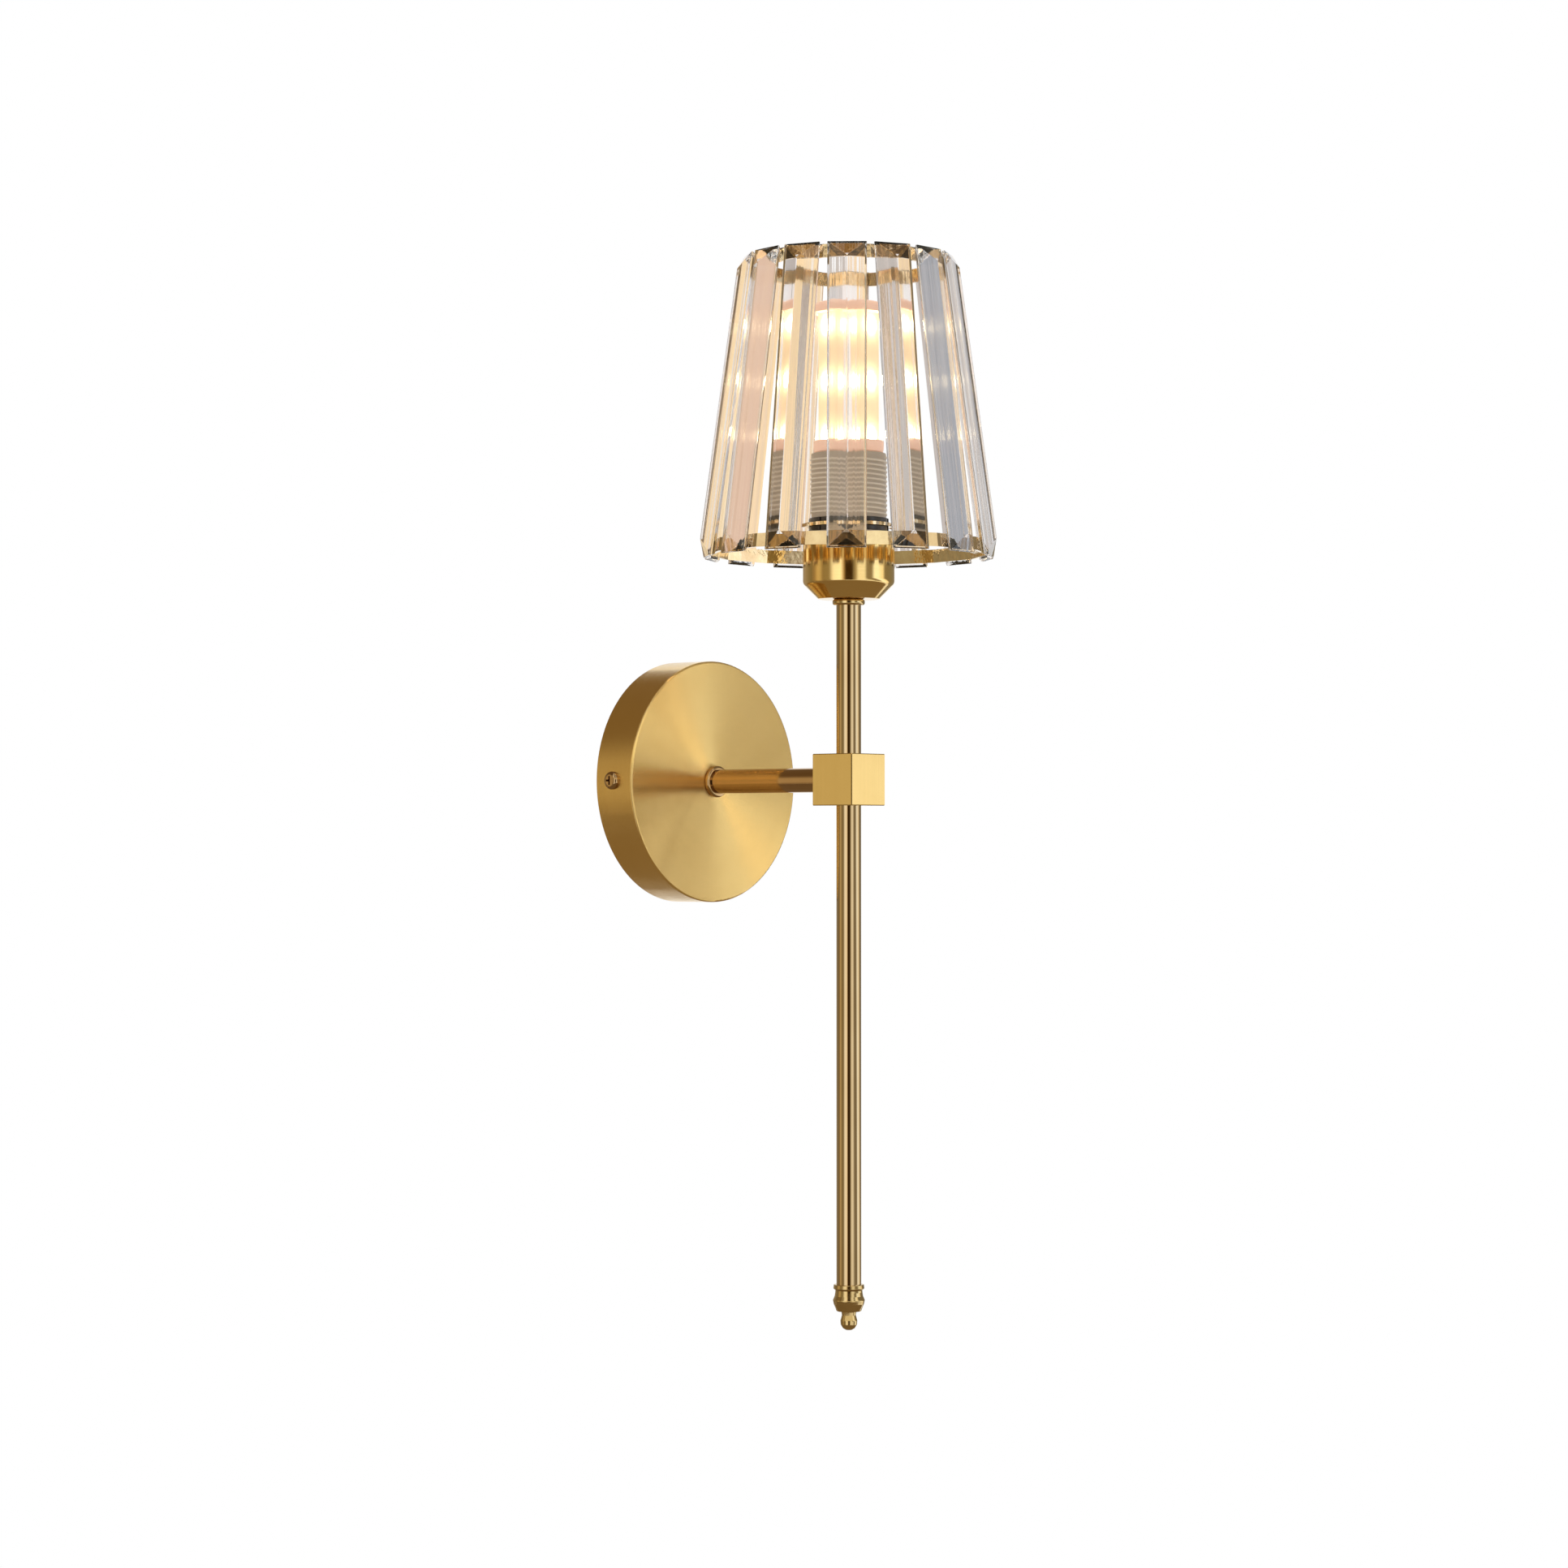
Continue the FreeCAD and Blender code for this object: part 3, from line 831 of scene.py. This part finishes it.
@dataclass
class Shade:
    """The crystal bars, their two rings and the carrier."""

    edge: float = 0.25 * MM
    edge_steps: int = 2
    edge_angle: float = 12.0

    def dress_metal(self) -> None:
        """Gives the rings and the carrier their gold plate."""
        # The shade colour is far darker than the colour, so the random patches on the rings and
        # carrier are painted dark reflections as well as random tone.
        plate = Brass(
            "mirror_gold_plate", (0.95, 0.80, 0.52), (0.52, 0.30, 0.15), 0.05,
            Grain.NONE, line_height=0.16 * MM,
        )
        dress(plate.make(), "bottom_ring", "top_ring", "shade_carrier")

    def make_bars(self) -> None:
        """Cuts one bar with softened edges and stands all of them round the rings."""
        nodes = ["crystal_bar_%02d" % (k + 1) for k in range(BAR_COUNT)]
        piece = merged_copy(nodes[0], "crystal_bars")
        piece.data.transform(Matrix.Translation((0, -ROD_Y, 0)))
        bevel = piece.modifiers.new("softened_edges", "BEVEL")
        bevel.width = self.edge
        bevel.segments = self.edge_steps
        bevel.limit_method = "ANGLE"
        bevel.angle_limit = math.radians(self.edge_angle)
        baked(piece)
        tree = GeometryTree("bars_in_a_ring")
        sheet = tree.sheet
        count = tree.size("Bars", BAR_COUNT)
        turn = tree.size("Turn between bars", FULL_TURN / BAR_COUNT)
        finish = tree.size("Finish", Crystal().make())
        points = sheet.add("GeometryNodePoints", {}, {"Count": count})[0]
        angle = sheet.add("GeometryNodeInputIndex")[0] * turn
        placed = sheet.add("GeometryNodeInstanceOnPoints", {}, {
            "Points": points, "Instance": tree.geometry(), "Rotation": sheet.vector(0, 0, angle),
        })[0]
        tree.finish(placed, finish)
        tree.run(piece, Matrix.Translation((0, ROD_Y, 0)))
        settle(piece, "shade", nodes)


@dataclass
class Lamp:
    """The lit lamp."""

    rows: tuple[float, float, float] = (0.1656, 0.1922, 0.2190)
    sides: int = 6
    board_radius: float = 12.6 * MM
    thread: Thread = Thread(13.0 * MM, 3.62 * MM, 137.4 * MM, 152.0 * MM, 0.34 * MM)

    def dress(self) -> None:
        """Gives every node of the lamp its finish and winds the thread of its cap."""
        board = LampGlow("board_painted_glow", self.rows, self.sides, self.board_radius)
        points = Glowing("lit_phosphor", (1.0, 0.9, 0.6), (1.0, 0.88, 0.60), 40.0)
        # The housing and top cap give off no light of their own: their glow is painted glow.
        pink = Glowing("lamp_body_painted_glow", (0.86, 0.62, 0.52), (1.0, 0.55, 0.38), 0.35)
        black = Moulded("black_glass", (0.02, 0.02, 0.02), (0.03, 0.03, 0.03), 0.2, 0.5)
        metal = Steel("lamp_cap_metal", (0.70, 0.69, 0.66), (0.58, 0.57, 0.55)).make()
        dress(board.make(), "lamp_core")
        dress(points.make(), "lamp_led_chips")
        dress(pink.make(), "lamp_housing", "lamp_top_cap")
        dress(ClearCover().make(), "lamp_cover")
        dress(black.make(), "lamp_insulator")
        dress(metal, "lamp_screw_cap", "lamp_tip_contact")
        settle(self.thread.wind("lamp_cap_thread", metal), "lamp")


# ---------------------------------------------------------------- studio


def seen_rays(sheet: Sheet) -> Wire:
    """1 for what the camera sees straight, in metal or through glass, and 0 for other light."""
    camera, glossy, through = sheet.read(
        "ShaderNodeLightPath", "Is Camera Ray", "Is Glossy Ray", "Is Transmission Ray"
    )
    return (camera + glossy + through).least(1.0)


def hide_from_matt(piece: bpy.types.Object) -> None:
    """Leaves a studio card to metal and glass: it lights nothing and casts no shadow."""
    piece.visible_camera = False
    piece.visible_diffuse = False
    piece.visible_shadow = False
    piece.visible_volume_scatter = False


@dataclass
class Studio:
    """The camera, the light, the white background and floor, and the cards round the set.

    The stops of panels, behind and steep stand at bearings in degrees, 0 at the camera, rising to
    the right, and 180 behind the light. The edges of the bands on them are in turns where their
    name says bearing, and otherwise in heights over the dome's radius.
    """

    turn: float = 49.463
    yaw: float = -0.978
    pitch: float = 0.880
    distance: float = 1.8305
    eye_height: float = -0.03015
    lens: float = 87.07
    sensor: float = 36.0
    sight_end: float = 20.0

    plain: Colour = (0.82, 0.80, 0.77)
    light_size: float = 1.6
    light_power: float = 14.0
    light_place: tuple[float, float, float] = (-1.4, -1.7, 1.6)

    floor_height: float = -1.2
    floor_half: float = 3.0
    floor_colour: Colour = (0.82, 0.80, 0.76)
    floor_white: float = 1.07
    floor_share: float = 0.9

    card_radius: float = 2.9
    card_low: float = -24.0
    card_columns: int = 72
    card_rows: int = 24
    backdrop_half: float = 15.0
    shade_height: float = 0.18

    skew: float = 1.34
    skew_limit: float = 0.35
    skew_bearing: Span = (0.60, 0.70)
    flag: Colour = (0.21, 0.14, 0.068)
    flag_share: float = 0.95
    flag_bearing: Span = (40 / 360, 65 / 360)
    flag_slope: Span = (0.12, 0.55)
    cream: Colour = (1.02, 0.96, 0.78)
    cream_bearing: Span = (58 / 360, 68 / 360)
    cream_foot: Span = (0.16, 0.23)
    cream_head: Span = (0.42, 0.58)
    steep_foot: Span = (0.10, 0.22)
    steep_head: Span = (0.55, 0.75)

    ground_colour: Colour = (0.25, 0.18, 0.10)
    ground_radius: float = 2.3
    ground_shift: float = 0.35
    ground_lift: float = 0.01
    ground_sides: int = 48

    panels: Stops = (
        (-180, (0.30, 0.26, 0.20)), (-140, (0.40, 0.34, 0.26)), (-108, (0.26, 0.22, 0.14)),
        (-94, (0.42, 0.31, 0.17)), (-85, (0.72, 0.58, 0.34)), (-77, (0.68, 0.56, 0.34)),
        (-68, (0.35, 0.28, 0.16)), (-50, (0.36, 0.30, 0.18)), (-38, (1.30, 1.32, 1.35)),
        (-20, (1.50, 1.48, 1.45)), (-12, (0.50, 0.36, 0.20)), (-7, (0.05, 0.025, 0.005)),
        (8, (0.05, 0.025, 0.005)), (18, (0.50, 0.44, 0.32)), (25, (1.18, 1.20, 1.20)),
        (40, (1.18, 1.20, 1.20)), (48, (0.33, 0.29, 0.22)), (66, (0.33, 0.29, 0.22)),
        (76, (1.35, 1.48, 1.65)), (89, (1.38, 1.48, 1.60)), (96, (1.30, 1.26, 1.18)),
        (103, (1.24, 1.18, 1.04)), (111, (0.29, 0.25, 0.18)), (150, (0.27, 0.25, 0.20)),
        (180, (0.30, 0.26, 0.20)),
    )
    behind: Stops = (
        (-180, (0.78, 0.67, 0.60)), (-168, (0.74, 0.58, 0.46)), (-158, (1.05, 0.79, 0.46)),
        (-140, (1.05, 0.82, 0.48)), (-128, (0.50, 0.34, 0.24)), (-119, (0.66, 0.46, 0.37)),
        (-115, (1.05, 0.84, 0.62)), (-111, (0.70, 0.49, 0.39)), (-104, (0.90, 0.68, 0.48)),
        (-98, (1.60, 1.28, 0.95)), (-82, (1.40, 1.20, 1.00)), (-68, (0.24, 0.15, 0.07)),
        (-52, (1.40, 1.10, 0.72)), (-38, (0.16, 0.10, 0.05)), (-22, (0.10, 0.07, 0.04)),
        (0, (0.60, 0.44, 0.26)), (22, (0.08, 0.06, 0.04)), (42, (0.14, 0.09, 0.05)),
        (54, (1.25, 1.00, 0.66)), (68, (0.20, 0.14, 0.08)), (82, (0.80, 0.70, 0.55)),
        (95, (0.52, 0.56, 0.64)), (100, (0.31, 0.35, 0.43)), (105, (0.58, 0.63, 0.74)),
        (110, (0.31, 0.35, 0.44)), (118, (0.43, 0.47, 0.54)), (128, (1.40, 1.35, 1.28)),
        (142, (0.83, 0.86, 0.90)), (158, (0.52, 0.49, 0.47)), (180, (0.78, 0.67, 0.60)),
    )
    steep: Stops = (
        (-180, (0.78, 0.67, 0.60)), (-158, (1.05, 0.79, 0.46)), (-140, (1.05, 0.82, 0.48)),
        (-128, (0.66, 0.46, 0.30)), (-112, (0.76, 0.53, 0.40)), (-96, (0.80, 0.57, 0.41)),
        (-86, (0.26, 0.16, 0.07)), (-75, (0.50, 0.34, 0.15)), (-60, (0.75, 0.52, 0.24)),
        (-48, (0.10, 0.06, 0.03)), (-38, (0.60, 0.42, 0.18)), (-28, (0.04, 0.03, 0.015)),
        (-14, (0.02, 0.015, 0.01)), (-7, (0.30, 0.19, 0.08)), (0, (0.40, 0.26, 0.11)),
        (6, (0.05, 0.035, 0.02)), (16, (0.02, 0.015, 0.01)), (30, (0.30, 0.21, 0.10)),
        (38, (0.60, 0.42, 0.20)), (46, (0.08, 0.05, 0.03)), (60, (0.35, 0.25, 0.13)),
        (75, (0.75, 0.62, 0.42)), (88, (0.12, 0.10, 0.08)), (96, (0.30, 0.31, 0.34)),
        (101, (0.46, 0.47, 0.51)), (106, (0.29, 0.31, 0.35)), (111, (0.44, 0.46, 0.50)),
        (118, (0.34, 0.35, 0.39)), (125, (0.34, 0.34, 0.36)), (142, (0.83, 0.86, 0.90)),
        (158, (0.52, 0.49, 0.47)), (180, (0.78, 0.67, 0.60)),
    )

    def _spot(self, near: float, side: float) -> tuple[float, float]:
        """The X and Y of a place, from its way off the rods' axis.

        Args:
            near: How far it lies towards the camera's stand.
            side: How far it lies to the camera's right.

        Returns:
            X and Y.
        """
        place = math.radians(self.turn)
        return (
            -near * math.sin(place) + side * math.cos(place),
            ROD_Y - near * math.cos(place) - side * math.sin(place),
        )

    @staticmethod
    def _staged(
        name: str,
        points: Sequence[tuple[float, float, float]],
        faces: Sequence[tuple[int, ...]],
        material: bpy.types.Material,
    ) -> bpy.types.Object:
        """Makes a mesh that belongs to the stage and not to the wall light.

        Args:
            name: The new object's name.
            points: The mesh's points.
            faces: Its faces, as numbers of points.
            material: Its material.

        Returns:
            The stage object.
        """
        mesh = bpy.data.meshes.new(name)
        mesh.from_pydata(points, [], faces)
        mesh.materials.append(material)
        item = stand(name, mesh)
        return item

    def make_camera(self) -> None:
        """Stands the camera where the photograph was taken from."""
        data = bpy.data.cameras.new("camera")
        data.sensor_width = self.sensor
        data.lens = self.lens
        data.clip_end = self.sight_end
        heading, tilt = math.radians(self.turn + self.yaw), math.radians(self.pitch)
        forward = Vector((
            math.sin(heading) * math.cos(tilt), math.cos(heading) * math.cos(tilt), math.sin(tilt)
        ))
        right = Vector((math.cos(heading), -math.sin(heading), 0.0))
        up = right.cross(forward)
        x, y = self._spot(self.distance, 0.0)
        camera = stand("camera", data)
        camera.matrix_world = Matrix((
            (right.x, up.x, -forward.x, x),
            (right.y, up.y, -forward.y, y),
            (right.z, up.z, -forward.z, self.eye_height),
            (0, 0, 0, 1),
        ))
        bpy.context.scene.camera = camera

    def make_world(self) -> None:
        """A white background for camera, metal and glass alike, and a plain level of light."""
        world = bpy.data.worlds.new("studio")
        bpy.context.scene.world = world
        world.use_nodes = True
        sheet = Sheet(world.node_tree)
        level, white = (
            sheet.add("ShaderNodeBackground", {}, {"Color": colour, "Strength": 1.0})[0]
            for colour in (self.plain, WHITE)
        )
        mixed = sheet.blend(seen_rays(sheet), level, white)
        sheet.add("ShaderNodeOutputWorld", {}, {"Surface": mixed})

    def _bearing(self, sheet: Sheet, centre_height: float) -> tuple[Wire, Wire]:
        """Where a point of a card stands, as seen from the middle of the set.

        Args:
            sheet: The card material's sheet.
            centre_height: The height of the set's middle.

        Returns:
            The bearing in turns, 0.5 at the camera and rising to the right, and the slope.
        """
        x, y, z = sheet.place()
        ahead, slope = (y - ROD_Y) / self.card_radius, (z - centre_height) / self.card_radius
        aside = x / self.card_radius
        place = math.radians(self.turn)
        near = aside * -math.sin(place) + ahead * -math.cos(place)
        side = aside * math.cos(place) + ahead * -math.sin(place)
        return side.angle_from(near) / FULL_TURN + 0.5, slope

    @staticmethod
    def _ramp(sheet: Sheet, stops: Stops, at: Wire) -> Wire:
        """The colour of a row of cards at a bearing."""
        placed = [(degrees / 360.0 + 0.5, colour) for degrees, colour in stops]
        return sheet.add("ShaderNodeValToRGB", {"stops": placed}, {0: at})[0]

    def _card_dome(
        self, name: str, centre_height: float, material: bpy.types.Material
    ) -> bpy.types.Object:
        """Cards on a dome that stays open behind the light, where the white background shows.

        Args:
            name: The new object's name.
            centre_height: The height of the dome's middle.
            material: The cards' colours.

        Returns:
            The stage object, hidden from the camera and from matt surfaces.
        """
        last, head = 180.0 - self.backdrop_half, 90.0
        wide, high = self.card_columns, self.card_rows
        columns = [-last + 2 * last * k / wide for k in range(wide + 1)]
        rows = [self.card_low + (head - self.card_low) * k / high for k in range(high + 1)]
        points = []
        for row in rows:
            lift = math.radians(row)
            reach = self.card_radius * math.cos(lift)
            for column in columns:
                angle = math.radians(column)
                x, y = self._spot(reach * math.cos(angle), reach * math.sin(angle))
                points.append((x, y, centre_height + self.card_radius * math.sin(lift)))
        across = wide + 1
        faces = [
            (r * across + c, r * across + c + 1, (r + 1) * across + c + 1, (r + 1) * across + c)
            for r in range(high) for c in range(wide)
        ]
        cards = self._staged(name, points, faces, material)
        hide_from_matt(cards)
        return cards

    def make_metal_cards(self) -> None:
        """Tall panels and dark flags that the metal mirrors."""
        material, sheet = new_material("metal_cards")
        around, z = self._bearing(sheet, 0.0)
        tilt = z.least(self.skew_limit).most(-self.skew_limit) * around.smooth(*self.skew_bearing)
        metal = self._ramp(sheet, self.panels, around + tilt * (self.skew / FULL_TURN))
        left = (0.5 - around).smooth(*self.flag_bearing)
        flags = z.size().smooth(*self.flag_slope) * left * self.flag_share
        front = 1.0 - (around - 0.5).size().smooth(*self.cream_bearing)
        band = z.smooth(*self.cream_foot) * (1.0 - z.smooth(*self.cream_head)) * front
        flagged = sheet.mix(flags, metal, self.flag)
        sheet.surface(sheet.glow(sheet.mix(band, flagged, self.cream)))
        cards = self._card_dome("metal_cards", 0.0, material)
        cards.visible_transmission = False

    def make_glass_cards(self) -> None:
        """Warm cards at the left and cool ones at the right that show through the crystal."""
        material, sheet = new_material("glass_cards")
        around, z = self._bearing(sheet, self.shade_height)
        slope = z.size()
        sloping = slope.smooth(*self.steep_foot) * (1.0 - slope.smooth(*self.steep_head))
        level = self._ramp(sheet, self.behind, around)
        steep = self._ramp(sheet, self.steep, around)
        sheet.surface(sheet.glow(sheet.mix(sloping, level, steep)))
        cards = self._card_dome("glass_cards", self.shade_height, material)
        cards.visible_glossy = False

    def make_ground_card(self) -> None:
        """A dark card on the floor under the light, that its undersides mirror."""
        material, sheet = new_material("ground_card")
        sheet.surface(sheet.glow(self.ground_colour))
        x, y = self._spot(0.0, -self.ground_shift)
        angles = [FULL_TURN * k / self.ground_sides for k in range(self.ground_sides)]
        points = [
            (x + self.ground_radius * math.cos(angle), y + self.ground_radius * math.sin(angle),
             self.floor_height + self.ground_lift)
            for angle in angles
        ]
        card = self._staged("ground_card", points, [tuple(range(len(points)))], material)
        hide_from_matt(card)
        card.visible_transmission = False

    def make_floor(self) -> None:
        """A plain pale floor, well below the foot of the light."""
        material, sheet = new_material("pale_floor")
        matt = sheet.add("ShaderNodeBsdfDiffuse", {}, {"Color": self.floor_colour})[0]
        white = sheet.glow(WHITE, self.floor_white)
        sheet.surface(sheet.blend(seen_rays(sheet) * self.floor_share, matt, white))
        half = self.floor_half
        corners = ((-half, -half), (half, -half), (half, half), (-half, half))
        points = [(x, y, self.floor_height) for x, y in corners]
        self._staged("floor", points, [(0, 1, 2, 3)], material)

    def make_lights(self) -> None:
        """One large soft panel above and to the left."""
        data = bpy.data.lights.new("soft_panel", "AREA")
        data.size = self.light_size
        data.energy = self.light_power
        panel = stand("soft_panel", data)
        panel.location = self.light_place
        panel.rotation_mode = "QUATERNION"
        aim = Vector((0.0, ROD_Y, 0.0))
        panel.rotation_quaternion = (aim - panel.location).to_track_quat("-Z", "Y")
        panel.visible_camera = False
        panel.visible_glossy = False
        panel.visible_transmission = False


def main() -> None:
    """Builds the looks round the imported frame."""
    logging.basicConfig(level=logging.INFO, format="%(name)s: %(message)s")
    bpy.context.scene.view_settings.view_transform = "Standard"
    fixture = Fixture()
    fixture.dress_metal()
    fixture.dress_hidden()
    fixture.dress_holder()
    fixture.make_thread()
    shade = Shade()
    shade.dress_metal()
    shade.make_bars()
    Lamp().dress()
    studio = Studio()
    studio.make_camera()
    studio.make_world()
    studio.make_metal_cards()
    studio.make_glass_cards()
    studio.make_ground_card()
    studio.make_floor()
    studio.make_lights()


if __name__ == "__main__":
    main()
